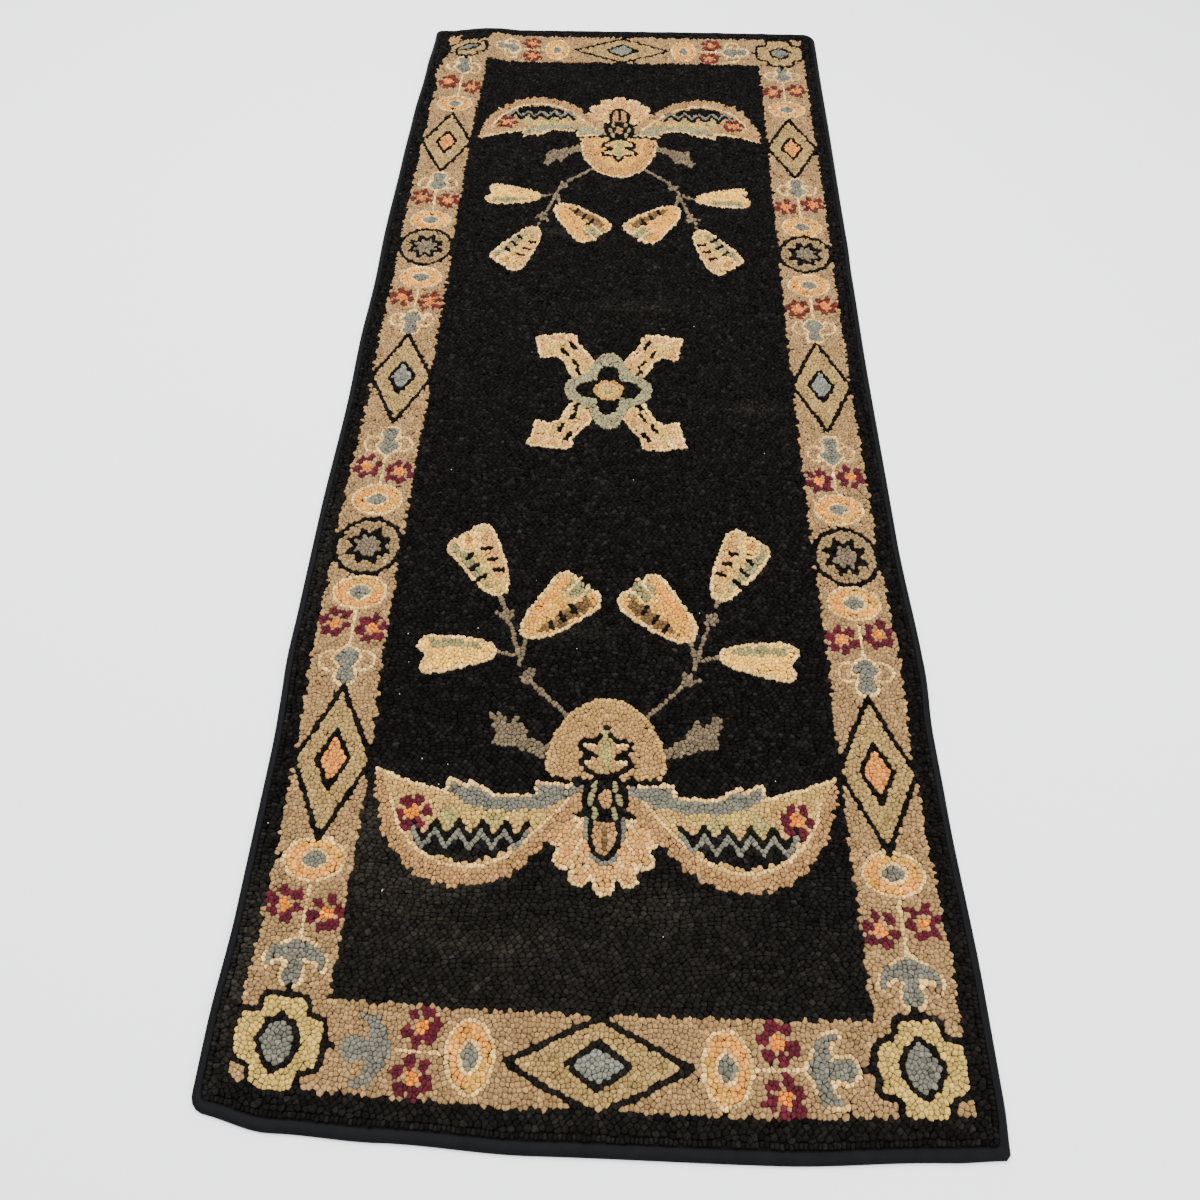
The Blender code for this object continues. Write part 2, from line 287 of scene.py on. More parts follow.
# The tape's outside, as distances in from the rug's edge and heights.
TAPE_UNDERSIDE = ((TAPE_UNDER, 0.0), (0.0170, 0.0), (0.0090, 0.0), (0.0022, 0.0))
TAPE_FOLD = ((0.0008, 0.0005), (0.0001, 0.0015), (0.0000, 0.0027), (0.0004, 0.0039), (0.0013, 0.0049))
TAPE_FACE = ((0.0026, 0.0055), (0.0042, 0.0057), (0.0058, 0.0054), (0.0073, 0.0049), (TAPE_SHOWN, 0.0043))
PUCKER = 0.00022
PUCKER_LENGTHS = (0.083, 0.047, 0.029)
PUCKER_FROM = 0.0040
PUCKER_FULL = 0.0056

Cut = namedtuple("Cut", "across along turn place")


def cuts_round_the_rug():
    """Cuts across the rug's edge, anticlockwise from the near left corner. On a straight edge a
    cut has a place along it, and on a corner it has a turn, from 0 at the side to 1 at the end."""
    turns = np.linspace(0.0, 1.0, CORNER_STEPS + 1)
    on_end, on_side = (
        np.linspace(-half, half, round(2 * half / TAPE_STEP))[1:-1]
        for half in (WIDTH / 2 - RIM, LENGTH / 2 - RIM))
    rows = [(-1, -1, turn, 0.0) for turn in turns] + [(0, -1, 0.0, place) for place in on_end]
    rows += [(1, -1, 1.0 - turn, 0.0) for turn in turns] + [(1, 0, 0.0, place) for place in on_side]
    rows += [(1, 1, turn, 0.0) for turn in turns] + [(0, 1, 0.0, place) for place in on_end[::-1]]
    rows += [(-1, 1, 1.0 - turn, 0.0) for turn in turns] + [(-1, 0, 0.0, place) for place in on_side[::-1]]
    return Cut(*np.array(rows).T)


def round_the_rug(cuts, side_inset, near_inset):
    """A closed line all round the rug at a distance in from its edges, on the cuts."""
    on_near = np.where(cuts.along < 0, np.where(cuts.across == 0, 1.0, ease(cuts.turn)), 0.0)
    inset = side_inset + on_near * (near_inset - side_inset)
    reach = RIM - inset
    steep = np.tan(np.clip(cuts.turn, 0.0, 0.5) * pi / 2)
    flat = np.tan(np.clip(1.0 - cuts.turn, 0.0, 0.5) * pi / 2)
    corner_u = cuts.across * (WIDTH / 2 - RIM + reach * flat)
    corner_v = cuts.along * (LENGTH / 2 - RIM + reach * steep)
    on_end = cuts.across == 0
    on_side = cuts.along == 0
    u = np.where(on_end, cuts.place, np.where(on_side, cuts.across * (WIDTH / 2 - inset), corner_u))
    v = np.where(on_side, cuts.place, np.where(on_end, cuts.along * (LENGTH / 2 - inset), corner_v))
    return rounded(u, v)


tape_cuts = cuts_round_the_rug()
tape_section = TAPE_UNDERSIDE + TAPE_FOLD + TAPE_FACE
outer_u, outer_v = round_the_rug(tape_cuts, 0.0, 0.0)
steps_along = np.hypot(np.diff(outer_u, append=outer_u[:1]), np.diff(outer_v, append=outer_v[:1]))
tape_length = steps_along.sum()
along_tape = np.concatenate([[0.0], np.cumsum(steps_along)])
across_tape = np.concatenate([[0.0], np.cumsum(np.hypot(*np.diff(tape_section, axis=0).T))])

tape = new_grid("twill_edge_tape", len(outer_u), len(tape_section) - 1)
flat = vertices_of(tape)
cut_of = np.rint((flat[:, 0] + 0.5) * len(outer_u)).astype(int)
point_of = np.rint((flat[:, 1] + 0.5) * (len(tape_section) - 1)).astype(int)
pucker = sum(np.sin(2 * pi * along_tape * round(tape_length / length) / tape_length + length * 90.0)
             for length in PUCKER_LENGTHS) * PUCKER
tape_places = np.zeros_like(flat)
for number, (inset, point_height) in enumerate(tape_section):
    shown = number >= len(TAPE_UNDERSIDE) + len(TAPE_FOLD)
    start = TAPE_FOLD[-1][0]
    stretch = (TAPE_SHOWN_NEAR_END - start) / (TAPE_SHOWN - start) if shown else 1.0
    line_u, line_v = round_the_rug(tape_cuts, inset, start + (inset - start) * stretch)
    chosen = point_of == number
    wrapped = cut_of[chosen] % len(outer_u)
    on_roll = ease((point_height - PUCKER_FROM) / (PUCKER_FULL - PUCKER_FROM))
    height = point_height + on_roll * pucker[wrapped]
    tape_places[chosen] = laid(line_u[wrapped], line_v[wrapped], height)
move_vertices(tape, tape_places)
tape_map = tape.data.uv_layers.new(name="along_the_tape")
corner_vertex = np.empty(len(tape.data.loops), int)
tape.data.loops.foreach_get("vertex_index", corner_vertex)
tape_map.data.foreach_set("uv", np.stack(
    [along_tape[cut_of[corner_vertex]], across_tape[point_of[corner_vertex]]], axis=-1).ravel())
bpy.ops.object.mode_set(mode="EDIT")
bpy.ops.mesh.select_all(action="SELECT")
bpy.ops.mesh.remove_doubles(threshold=0.00005)
bpy.ops.mesh.normals_make_consistent(inside=False)
bpy.ops.object.mode_set(mode="OBJECT")
thicken(tape, TAPE_THICKNESS, -1.0)

CHARCOAL = (0.0030, 0.0030, 0.0034)
CHARCOAL_WORN = (0.0075, 0.0075, 0.0082)
RIBS_PER_METRE = 2200.0
TWILL_TURNED = 28.0
twill = new_material("charcoal_twill", CHARCOAL, 0.55, gloss=0.03)
twill_place = add_node(twill, "UVMap", uv_map="along_the_tape")
twill_turned = add_node(twill, "Mapping", [("Vector", twill_place, "UV")],
                        Rotation=(0.0, 0.0, radians(TWILL_TURNED)))
twill_ribs = add_node(twill, "TexWave", [("Vector", twill_turned, "Vector")],
                      Scale=RIBS_PER_METRE / WAVES_PER_SCALE, Distortion=0.6, Detail=1.0)
twill_wear = add_node(twill, "TexNoise", [("Vector", twill_place, "UV")],
                      Scale=55.0, Detail=5.0, Roughness=0.65)
twill_colour = two_colours(twill, twill_wear, "Fac", CHARCOAL, CHARCOAL_WORN)
finish_surface(twill, (twill_colour, "Result"), (twill_ribs, "Fac"), 0.35, 0.0003)
tape.data.materials.append(twill)
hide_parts("edge_binding")
add_piece_to_rug(tape)

# ---- The pattern on the hessian ----
# Before it is hooked, the pattern is drawn on the hessian: a black field with a band near its
# edge, a cross in the middle and a winged palmette with buds towards each end.

# Millimetres in the flat cut, from the rug's middle. Later shapes lie over earlier ones. A shape
# with no fill is an open line, hooked as one row of loops.
Shape = namedtuple("Shape", "points fill edge")


def patch(points, fill, edge=None):
    """A closed shape in one wool, with a row of loops of another round it if it has an edge."""
    return Shape(list(points), fill, edge)


def line(points, colour):
    """One row of loops."""
    return Shape(list(points), None, colour)


def both(*lines):
    """Lines, each given with its wool, on a motif's left side and then on its right."""
    return [line([(side * p, q) for p, q in points], wool) for side in (-1, 1) for points, wool in lines]


def ellipse(u, v, half_wide, half_high, points=32):
    """A round or oval outline."""
    turns = [2 * pi * n / points for n in range(points)]
    return [(u + half_wide * cos(turn), v + half_high * sin(turn)) for turn in turns]


def diamond(half_wide, half_high):
    """A diamond's outline."""
    return [(half_wide, 0), (0, half_high), (-half_wide, 0), (0, -half_high)]


def curve(points, closed=False, steps=5):
    """A smooth curve through the points."""
    count = len(points)

    def at(n):
        return points[n % count] if closed else points[max(0, min(count - 1, n))]

    result = []
    for span in range(count if closed else count - 1):
        a, b, c, d = at(span - 1), at(span), at(span + 1), at(span + 2)
        for step in range(steps):
            t = step / steps
            result.append(tuple(
                0.5 * (2 * b[k] + (c[k] - a[k]) * t + (2 * a[k] - 5 * b[k] + 4 * c[k] - d[k]) * t**2
                       + (3 * b[k] - a[k] - 3 * c[k] + d[k]) * t**3)
                for k in (0, 1)))
    return result if closed else result + [points[-1]]


def mirrored(right_half):
    """Close a shape whose right half is given from top to bottom."""
    return list(right_half) + [(-u, v) for u, v in reversed(right_half) if u != 0.0]


def placed(shapes, u, v, across=(1, 0), along=(0, 1)):
    """Lay a motif at a place, with its own two axes turned."""
    return [shape._replace(points=[(u + p * across[0] + q * along[0], v + p * across[1] + q * along[1])
                                   for p, q in shape.points]) for shape in shapes]


def arc(half_wide, half_high, start, stop, u=0.0, v=0.0, steps=8):
    """Part of an oval outline, from one angle to another, clockwise from straight up."""
    turns = [radians(start + (stop - start) * n / steps) for n in range(steps + 1)]
    return [(u + half_wide * sin(turn), v + half_high * cos(turn)) for turn in turns]


def star(outer, inner, tips, turned):
    """A star's outline."""
    turns = [(pi * n / tips + turned, (outer, inner)[n % 2]) for n in range(2 * tips)]
    return [(reach * sin(turn), reach * cos(turn)) for turn, reach in turns]


def four_lobes(reach, swing, wide=1.0, high=1.0, points=48):
    """A round outline that bulges to four sides."""
    turns = [2 * pi * n / points for n in range(points)]
    lobed = [(turn, reach + swing * cos(4 * turn)) for turn in turns]
    return [(wide * far * cos(turn), high * far * sin(turn)) for turn, far in lobed]


def oval(fill):
    """An oval with a small grey-blue bloom in it."""
    pale_side = arc(30.0, 21.5, 80, 200, steps=5) + arc(16.5, 11.0, 200, 80, steps=5)
    return [patch(ellipse(0, 0, 32.5, 23.0), fill, "cream"), patch(pale_side, "yellow_deep"),
            patch(curve(diamond(15, 11), closed=True), "blue_grey", "cream")]


PETAL_OUT = 14.2
PETAL_SIZES = (6.6, 6.0, 6.7, 6.1, 6.6, 6.0)


def rosette(u, v, turn, centre, heart):
    """Six dark petals, not quite even, round a bright centre."""
    ways = [radians(60 * n + turn) for n in range(6)]
    wool = "brick" if centre == "orange_pink" else "maroon"
    return [patch(ellipse(u, v, heart, heart, 12), centre)] + [
        patch(ellipse(u + PETAL_OUT * sin(way), v + PETAL_OUT * cos(way), size, size, 10), wool)
        for way, size in zip(ways, PETAL_SIZES)]


def curled_urn():
    """A grey-blue urn with its tip to the oval and a cream curl at each side."""
    curl = [(10, -15), *arc(12, 13, 190, -90, 21, -4, steps=7)]
    body = mirrored(curve([(0, -25), (9, -19), (18, -6), (9, 3), (13, 17), (8, 25), (0, 26)], steps=3))
    return both((curl, "cream")) + [patch(body, "blue_grey", "cream")]


def hooked_urn(edge):
    """The same with two grey-blue hooked arms, with or without a cream edge."""
    body = mirrored([(0, -25), *arc(25, 20, 160, 60, 8, 3, steps=6), (26, 8), (20, 2), (8, 0),
                     (13, 17), (8, 25), (0, 26)])
    arm = arc(14, 15, 180, 75, 14, 2, steps=4)
    return [patch(body, "blue_grey", edge)] + both((arm, "blue_grey"))


BESIDE_STEM = 22.5
Spray = namedtuple("Spray", "oval_at away rosettes_at urn_at fill centre heart curled")


def spray(row, offset, edge="cream"):
    """An oval, and on a stem away from it two rosettes and an urn."""
    shapes = [line([(0, 25), (0, row.urn_at - 27)], "cream")]
    shapes += rosette(-BESIDE_STEM, row.rosettes_at - offset, 14, row.centre, row.heart)
    shapes += rosette(BESIDE_STEM, row.rosettes_at + offset, 43, row.centre, row.heart)
    shapes += placed(curled_urn() if row.curled else hooked_urn(edge), 0, row.urn_at)
    return shapes + oval(row.fill)


def banded_diamond(half_wide, half_high, inner_wide, inner_high, inner_fill):
    """A straw diamond that fills the band, with a smaller one in it."""
    return [patch(diamond(half_wide, half_high), "straw", "black"),
            patch(diamond(inner_wide, inner_high), inner_fill, "black")]


def star_roundel():
    """A round with a wide star of eight short rays."""
    return [patch(ellipse(0, 0, 42.0, 41.5), "tan_deep", "black"),
            patch(star(29, 16, 8, pi / 8), "taupe_grey", "black")]


LOBE = ((0.34, 1.0), (0.52, 0.92), (0.55, 0.60), (0.92, 0.52), (1.0, 0.34))


def quatrefoil(wide, high, heart_wide, heart_high, heart_lean, fill):
    """A corner's four-lobed shape round a diamond."""
    outline = []
    for across, along in ((1, 1), (1, -1), (-1, -1), (-1, 1)):
        turn = [(across * p * wide, along * q * high) for p, q in LOBE]
        outline += turn if across * along > 0 else turn[::-1]
    heart = [(p, q + heart_lean * p / heart_wide)
             for p, q in curve(diamond(heart_wide, heart_high), closed=True, steps=2)]
    return [patch(outline, fill, "black"), patch(heart, "blue_grey", "black")]


# The band, and where its two columns and two rows have their middle line.
COLUMN_AT = 307.0
ROW_AT = 860.5
BAND_INNER = 264.5
BAND_OUTER = 350.5
ROW_INNER = 818.0
ROW_OUTER = 901.0
FAR_ROW_OUTER = 906.0


def bar(left, bottom, right, top):
    """One straight stretch of the band."""
    return patch([(left, bottom), (right, bottom), (right, top), (left, top)], "tan")


chart = [bar(-BAND_OUTER, -ROW_OUTER, BAND_OUTER, -ROW_INNER),
         bar(-BAND_OUTER, ROW_INNER, BAND_OUTER, FAR_ROW_OUTER),
         bar(-BAND_OUTER, -ROW_OUTER, -BAND_INNER, FAR_ROW_OUTER),
         bar(BAND_INNER, -ROW_OUTER, BAND_OUTER, FAR_ROW_OUTER)]

COLUMN_SPRAYS = (
    Spray(677, 1, 57, 110, "peach_pale", "orange_pink", 8.6, True),
    Spray(352, 1, 54, 99, "peach", "orange_pink", 8.6, True),
    Spray(215, -1, 49, 97, "peach", "orange_pink", 8.6, True),
    Spray(-211, 1, 50, 97, "peach", "orange", 6.8, True),
    Spray(-352, -1, 47, 98, "peach_warm", "orange", 6.8, True),
    Spray(-677, -1, 53, 105, "peach_warm", "orange", 6.8, False),
)
# Each diamond's place, half its height and that of the one in it, and the inner one's wool.
COLUMN_DIAMONDS = ((563, 85, 31, "orange_pale"), (6, 86, 31, "blue_grey_pale"), (-567, 89, 33, "orange_pale"))
COLUMN_ROUNDELS = (287, -284)
for side in (-1, 1):
    for row in COLUMN_SPRAYS:
        shapes = spray(row, 4.0 * side * row.away)
        chart += placed(shapes, side * COLUMN_AT, row.oval_at, along=(0, row.away))
    for at, half_high, inner_high, wool in COLUMN_DIAMONDS:
        chart += placed(banded_diamond(43.5, half_high, 18, inner_high, wool), side * COLUMN_AT, at)
    for at in COLUMN_ROUNDELS:
        chart += placed(star_roundel(), side * COLUMN_AT, at)

NEAR_END_SPRAY = Spray(122, -1, 51, 98, "peach_warm", "orange", 6.8, False)
FAR_END_SPRAY = Spray(122, 1, 51, 98, "peach", "orange_pink", 8.6, True)
for row, diamond_at in ((NEAR_END_SPRAY, (0, -ROW_AT - 2)), (FAR_END_SPRAY, (4, ROW_AT))):
    end = row.away
    for side in (-1, 1):
        edge = None if (end < 0 and side < 0) else "cream"
        chart += placed(spray(row, 2.0, edge), side * row.oval_at, end * ROW_AT, (0, end), (side, 0))
    chart += placed(banded_diamond(90, 41, 31, 20, "blue_grey_pale"), *diamond_at)

CORNER_SPIKE = (4.0, 8.5)
Corner = namedtuple("Corner", "side end u v wide high heart_wide heart_high heart_lean fill")
CORNERS = (
    Corner(-1, -1, -COLUMN_AT, -ROW_AT, 44.5, 44.5, 21, 26, 0, "straw_yellow"),
    Corner(-1, 1, -COLUMN_AT + 2, ROW_AT - 9, 38, 33, 26, 12, 6, "straw"),
    Corner(1, -1, COLUMN_AT, -ROW_AT, 44.5, 44.5, 21, 26, 0, "straw_yellow"),
    Corner(1, 1, COLUMN_AT, ROW_AT, 44.5, 44.5, 21, 18, 0, "straw"),
)
for row in CORNERS:
    chart += placed(quatrefoil(*row[4:]), row.u, row.v)
    chart += [line([(row.u - row.side * (row.wide + out), row.v) for out in CORNER_SPIKE], "black"),
              line([(row.u, row.v - row.end * (row.high + out)) for out in CORNER_SPIKE], "black")]

# The far left corner was hooked where the cloth ruckled: the band's far bar stops short of it,
# and the column beside it wanders.
chart += [patch([(-326, 890), (-300, 887), (-268, 884), (-266, 908), (-326, 908)], "black"),
          patch([(-352, 811), (-345.5, 811), (-345.5, 888), (-352, 888)], "black"),
          patch([(-350, 735), (-357, 745), (-357, 776), (-350, 786)], "tan"),
          patch([(-266, 904), (-250, 911), (-215, 912), (-188, 904)], "tan"),
          patch([(-349, 884), (-326, 886), (-326, 905), (-349, 905)], "tan_pink")]


def centre_cross():
    """Four boot-shaped arms round a lobed ring, with a pale disc in the middle."""
    boot = [(45, 20), (75, 26), (98, 29), (110, 40), (122, 32), (135, 14), (148, -5), (130, -14),
            (112, -28), (102, -8), (84, -6), (65, -14), (45, -20)]
    lining = [(46, -15), (46, 8), (98, 12), (112, 18), (126, 2), (120, -18), (106, -6), (82, -2)]
    veins = ([(76, 18), (112, 20), (128, -4)], [(114, 22), (120, 30)], [(123, 8), (137, 4)])
    dashes = [[(p - 6, q - 1), (p + 6, q + 2)] for p, q in ((53, -9), (70, 1), (96, 4), (100, 22))]
    arm = [patch(boot, "pink", "cream"), patch(lining, "yellow_pale")]
    arm += [line(vein, "cream") for vein in veins] + [line(dash, "black") for dash in dashes]
    shapes = []
    for quarter, flip in enumerate((1, -1, 1, -1)):
        angle = pi / 4 + quarter * pi / 2
        shapes += placed(arm, 0, 0, (cos(angle), sin(angle)), (-flip * sin(angle), flip * cos(angle)))
    return shapes + [patch(four_lobes(54, 12, 0.92, 1.06), "sage_grey", "sage_grey"),
                     patch(four_lobes(32, 12), "black", "black"),
                     patch(ellipse(0, -1, 18.5, 17, 20), "yellow_pale", "gold_pink"),
                     patch(ellipse(0, -1, 5, 5, 10), "olive_pale")]


chart += placed(centre_cross(), -6.5, -10.0)

Palmette = namedtuple(
    "Palmette", "end dome dome_edge leaf wing bloom seed_edge star star_share star_ground "
    "breadth depth buds_up")
PALMETTES = (
    Palmette(end=1, dome="gold_pink", dome_edge="cream", leaf="sage_grey", wing="tan_pink",
             bloom="orange_pink", seed_edge=None, star="yellow_pale", star_share=1.03,
             star_ground="yellow_deep", breadth=0.98, depth=129, buds_up=0),
    Palmette(end=-1, dome="tan_pink", dome_edge="tan_yellow", leaf="blue_grey", wing="tan_yellow",
             bloom="orange", seed_edge="blue_grey", star="tan_pink", star_share=0.91,
             star_ground="tan_pink", breadth=1.0, depth=114, buds_up=12),
)
PALMETTE_ACROSS = 1.5
PALMETTE_AT = 604.0
PETAL_STEP = 17
PETAL_TIPS = (100, 95, 86, 74)
PETAL_NOTCHES = (82, 75, 67, 45)
VEIN_STEP = 14
WING_MIDDLE = (140, -60)
RAGGED = (-1.6, 2.4, 0.4)
VEIN_SHARE = 0.87
CRESCENT_SHARE = 0.83
ZIGZAG_DEEP = 11.0
ZIGZAG_BLACK = 8.5
DOME_WIDE = 64
GROUND_SHARE = (0.72, 0.78)
SCALLOP = ((1.0, 1.0), (1.025, 1.015))
BESIDE_STAR = 24
STAR_FOOT = -25


def polar(angle, reach):
    """A point at an angle from straight up and a distance out."""
    way = radians(angle)
    return reach * sin(way), reach * cos(way)


def crown():
    """The palmette's ragged petals, with a light line up between them."""
    right = [polar(max(0, PETAL_STEP * n + angle), reach)
             for n, (tip, notch) in enumerate(zip(PETAL_TIPS, PETAL_NOTCHES))
             for angle, reach in ((-4, tip), (4, tip), (8.5, notch))]
    shapes = [patch(mirrored(right + [(20, 24), (0, 20)]), "pink", "cream")]
    for n in (1, 2, 3):
        starts = (80 - VEIN_STEP * n, 94 - VEIN_STEP * n)
        shapes += both(([polar(VEIN_STEP * n, reach) for reach in starts], "cream"))
    return shapes


def grown(points, shares):
    """A wing's line, taken nearer to the wing's middle or further from it."""
    middle, low = WING_MIDDLE
    return [(middle + share * (p - middle), low + share * (q - low)) for (p, q), share in zip(points, shares)]


def wing(row):
    """The right wing: a ragged rim, a dark crescent with a zigzag, and a leaf below."""
    low_edge = [(256, -27), (220, -14), (172, -2)]
    inner = low_edge + [(114, 3), (76, 0), (24, -16)]
    outer = curve([(22, 8), (60, 48), (100, 84), (150, 97), (200, 84), (238, 44), (256, -8), (256, -27)],
                  steps=8)
    ragged = grown(outer, [1.0 + RAGGED[n % 3] / hypot(p - WING_MIDDLE[0], q - WING_MIDDLE[1])
                           for n, (p, q) in enumerate(outer)])
    vein = [(p, q) for p, q in grown(outer, [VEIN_SHARE] * len(outer)) if q > -4]
    crescent = [(p, q) for p, q in grown(outer, [CRESCENT_SHARE] * len(outer)) if q > 37]
    zigzag = [(207 - 12.5 * n, (38, 56)[n % 2]) for n in range(11)]
    leaf_edge = [(38, -14), (75, -16), (75, -2), (120, 0), (150, -16), (152, -9), (174, -20), (174, -4)]
    leaf_top = [(150, 10), (128, 15), (100, 16), (60, 10), (28, -5), (24, -13)]
    return [patch(ragged + inner, "pink_tan"),
            patch(vein + inner, row.wing),
            patch(ellipse(126, 19, 42, 10, 16), "straw_yellow"),
            patch(ellipse(168, 25, 10, 13, 10), "olive_pale"),
            patch(ellipse(120, 27, 12, 9, 10), "olive_pale"),
            patch(ellipse(72, 26, 7, 8, 10), "straw_yellow"),
            line(vein, "cream"),
            patch(crescent + [(p, q - ZIGZAG_DEEP) for p, q in zigzag], "black"),
            line([(p, q - ZIGZAG_BLACK) for p, q in zigzag], "black"),
            line(zigzag, "blue_grey"),
            patch(leaf_edge + leaf_top, row.leaf),
            line(leaf_edge, "cream"),
            line(low_edge, "cream"),
            *rosette(209, 20, 24, row.bloom, 8.6)]


def dome(row):
    """The palmette's base: a dome, and a leafy star on its own ground."""
    half = [(15, -20), (62, -23), *arc(DOME_WIDE, row.depth - 32, 90, 180, 0, -32, steps=10)]
    ground = [(GROUND_SHARE[0] * p, GROUND_SHARE[1] * (q + BESIDE_STAR) - BESIDE_STAR) for p, q in half]
    scalloped = [(p * SCALLOP[n % 2][0], q * SCALLOP[n % 2][1])
                 for n, (p, q) in enumerate(curve(half, steps=2))]
    leaves, low_vein, high_vein = (
        [(p, STAR_FOOT + row.star_share * (q - STAR_FOOT)) for p, q in points] for points in (
            [(8, -25), (28, -38), (26, -47), (10, -50), (30, -60), (28, -70), (10, -70), (0, -88)],
            [(14, -42), (22, -42.5)],
            [(14, -63.5), (23, -65)]))
    return [patch(mirrored(scalloped), row.dome),
            patch(mirrored(ground), row.star_ground),
            patch(mirrored(leaves), row.star, "black"),
            patch(mirrored([(5, -30), (7, -52), (4, -80)]), "olive_pale"),
            *both((scalloped[4:], row.dome_edge), (low_vein, "cream"), (high_vein, "cream"))]


def seed(row):
    """The palmette's dark middle with a ring of dots, and the seed that stands in its crown."""
    shapes = []
    if row.seed_edge:
        arch = mirrored(arc(20, 34, 0, 90, 0, 35, steps=8) + [(20, 20)])
        shapes.append(patch(arch, row.seed_edge, row.seed_edge))
    shapes += [patch(ellipse(0, 1, 24, 27, 16), "black", "black"),
               patch(mirrored(arc(16, 24, 0, 90, 0, 40, steps=5) + [(14, 24)]), "pink_tan", "black"),
               line([(0, 54), (0, 34)], "olive" if row.seed_edge else "black")]
    for p, q in ((10, 17), (15.5, 1), (11, -14)):
        shapes += both(([(p, q - 4), (p + 1, q + 4)], "sage"))
    return shapes + [patch(ellipse(0, 0, 4.2, 8.0, 10), "pink_tan", "pink_tan")]


BUD_HALF = ((0.55, 0.16), (0.80, 0.50), (1.00, 0.90))
BUD_MOUTH = ((-0.55, 1.0), (-0.10, 0.93), (0.5, 1.04), (1.0, 0.92), (0.85, 0.50), (0.55, 0.16))
LEFT_STRIPE = ((-0.65, 0.42), (-0.85, 0.90), (-0.45, 0.90), (-0.20, 0.30))
RIGHT_STRIPE = ((0.70, 0.45), (0.85, 0.88), (0.40, 0.90), (0.20, 0.30))


def bud(start, tip, long, mouth, wools, dashed=()):
    """A trumpet-shaped bud on its stem, with a stripe along each side and dashes on some."""
    def sized(shares):
        return [(mouth * p, long * q) for p, q in shares]

    half = sized([(-p, q) for p, q in BUD_HALF])
    outline = curve([(-6, 0), *half, *sized(BUD_MOUTH), (6, 0)], closed=True, steps=3)
    shapes = [patch(outline, wools[0], "cream"),
              patch([(-6, 0.08 * long), *sized(LEFT_STRIPE)], wools[1]),
              patch([(6, 0.08 * long), *sized(RIGHT_STRIPE)], wools[2])]
    shapes += [line([(side * 0.55 * mouth, share * long), (side * 0.25 * mouth, share * long + 3)], "black")
               for side in dashed for share in (0.30, 0.48, 0.66)]
    return turned_to(shapes, start, tip)


def turned_to(shapes, start, tip):
    """Lay a motif at a place so that it points towards another."""
    across, along = tip[0] - start[0], tip[1] - start[1]
    away = hypot(across, along)
    return placed(shapes, *start, (along / away, -across / away), (across / away, along / away))


def sprig():
    """The right side's stems, calyxes and three buds."""
    calyx = patch([(-3, -16), (-14, 6), (-4, 2), (0, 14), (4, 2), (14, 6), (3, -16)], "taupe")
    stems = (curve([(43, -106), (75, -134), (100, -160), (104, -178)], steps=3),
             [(104, -178), (138, -188)], [(103, -178), (98, -210)],
             curve([(106, -180), (116, -214), (130, -250), (134, -270)], steps=3))
    return [*[line(stem, "taupe") for stem in stems],
            *turned_to([calyx], (96, -158), (112, -180)),
            *turned_to([calyx], (126, -240), (134, -262)),
            *bud((136, -187), (220, -180), 86, 24, ("yellow", "yellow", "sage")),
            *bud((134, -268), (186, -358), 100, 30, ("yellow_pale", "sage", "pink"), dashed=(-1, 1)),
            patch(ellipse(180, -342, 14, 15, 16), "yellow", "cream"),
            patch(ellipse(181, -344, 6, 7, 10), "gold_pink"),
            *bud((100, -210), (30, -282), 98, 33, ("yellow_deep", "peach", "olive"), dashed=(1,)),
            patch(ellipse(40, -274, 17, 13, 12), "sage"),
            line([(58, -262), (36, -292)], "cream"),
            line([(44, -256), (26, -276)], "cream")]


# The claw-shaped leaf under a wing.
CLAW = ((60, -40), (100, -56), (130, -58), (126, -72), (135, -95), (125, -103), (112, -86),
        (100, -94), (88, -70), (60, -56))
for row in PALMETTES:
    along = (0, row.end)
    v = row.end * PALMETTE_AT
    chart += placed(crown(), PALMETTE_ACROSS, v, along=along)
    for side in (-1, 1):
        across = (side * row.breadth, 0)
        chart += placed(wing(row) + [patch(CLAW, "taupe")], PALMETTE_ACROSS, v, across, along)
        chart += placed(sprig(), PALMETTE_ACROSS, v + row.end * row.buds_up, across, along)
    chart += placed(dome(row) + seed(row), PALMETTE_ACROSS, v, along=along)

# ---- Where the loops go ----
# The wool is pulled up through the hessian loop by loop. Outlines and lines are hooked first,
# one loop after another. Then each space is filled: the black field in rows across the rug,
# the band and the motifs less evenly.
FIELD_PITCH = 7.1
FIELD_ROW_STEP = 4.1
FIELD_STRETCH = 1.34
FIELD_SIZE = 5.25
MOTIF_PITCH = 4.7
MOTIF_ROW_STEP = 4.2
MOTIF_SIZE = 4.7
LINE_PITCH = 4.4
LINE_SIZE = 4.3
BLACK_LINE_SIZE = 4.9
CREAM_LINE_SIZE = 3.7
LEAST_ON_LINES = 3.6
FIELD_WANDER = 0.85
MOTIF_WANDER = 1.3
LINE_WANDER = 0.45
SIZE_SPREAD = 0.13
MOST_SPREAD = 0.3
ROW_WAVE = 3.0
ROW_WAVE_LENGTH = 210.0
ROW_WAVE_DRIFT = 0.004
TOO_CLOSE = 0.80
LEAST_APART = 0.5
FARTHEST_TOUCH = 8.2
SETTLING_STEPS = 8
SETTLING_SHARE = 0.32
FIRST_ROW_IN = 0.0033
rng = np.random.default_rng(7)


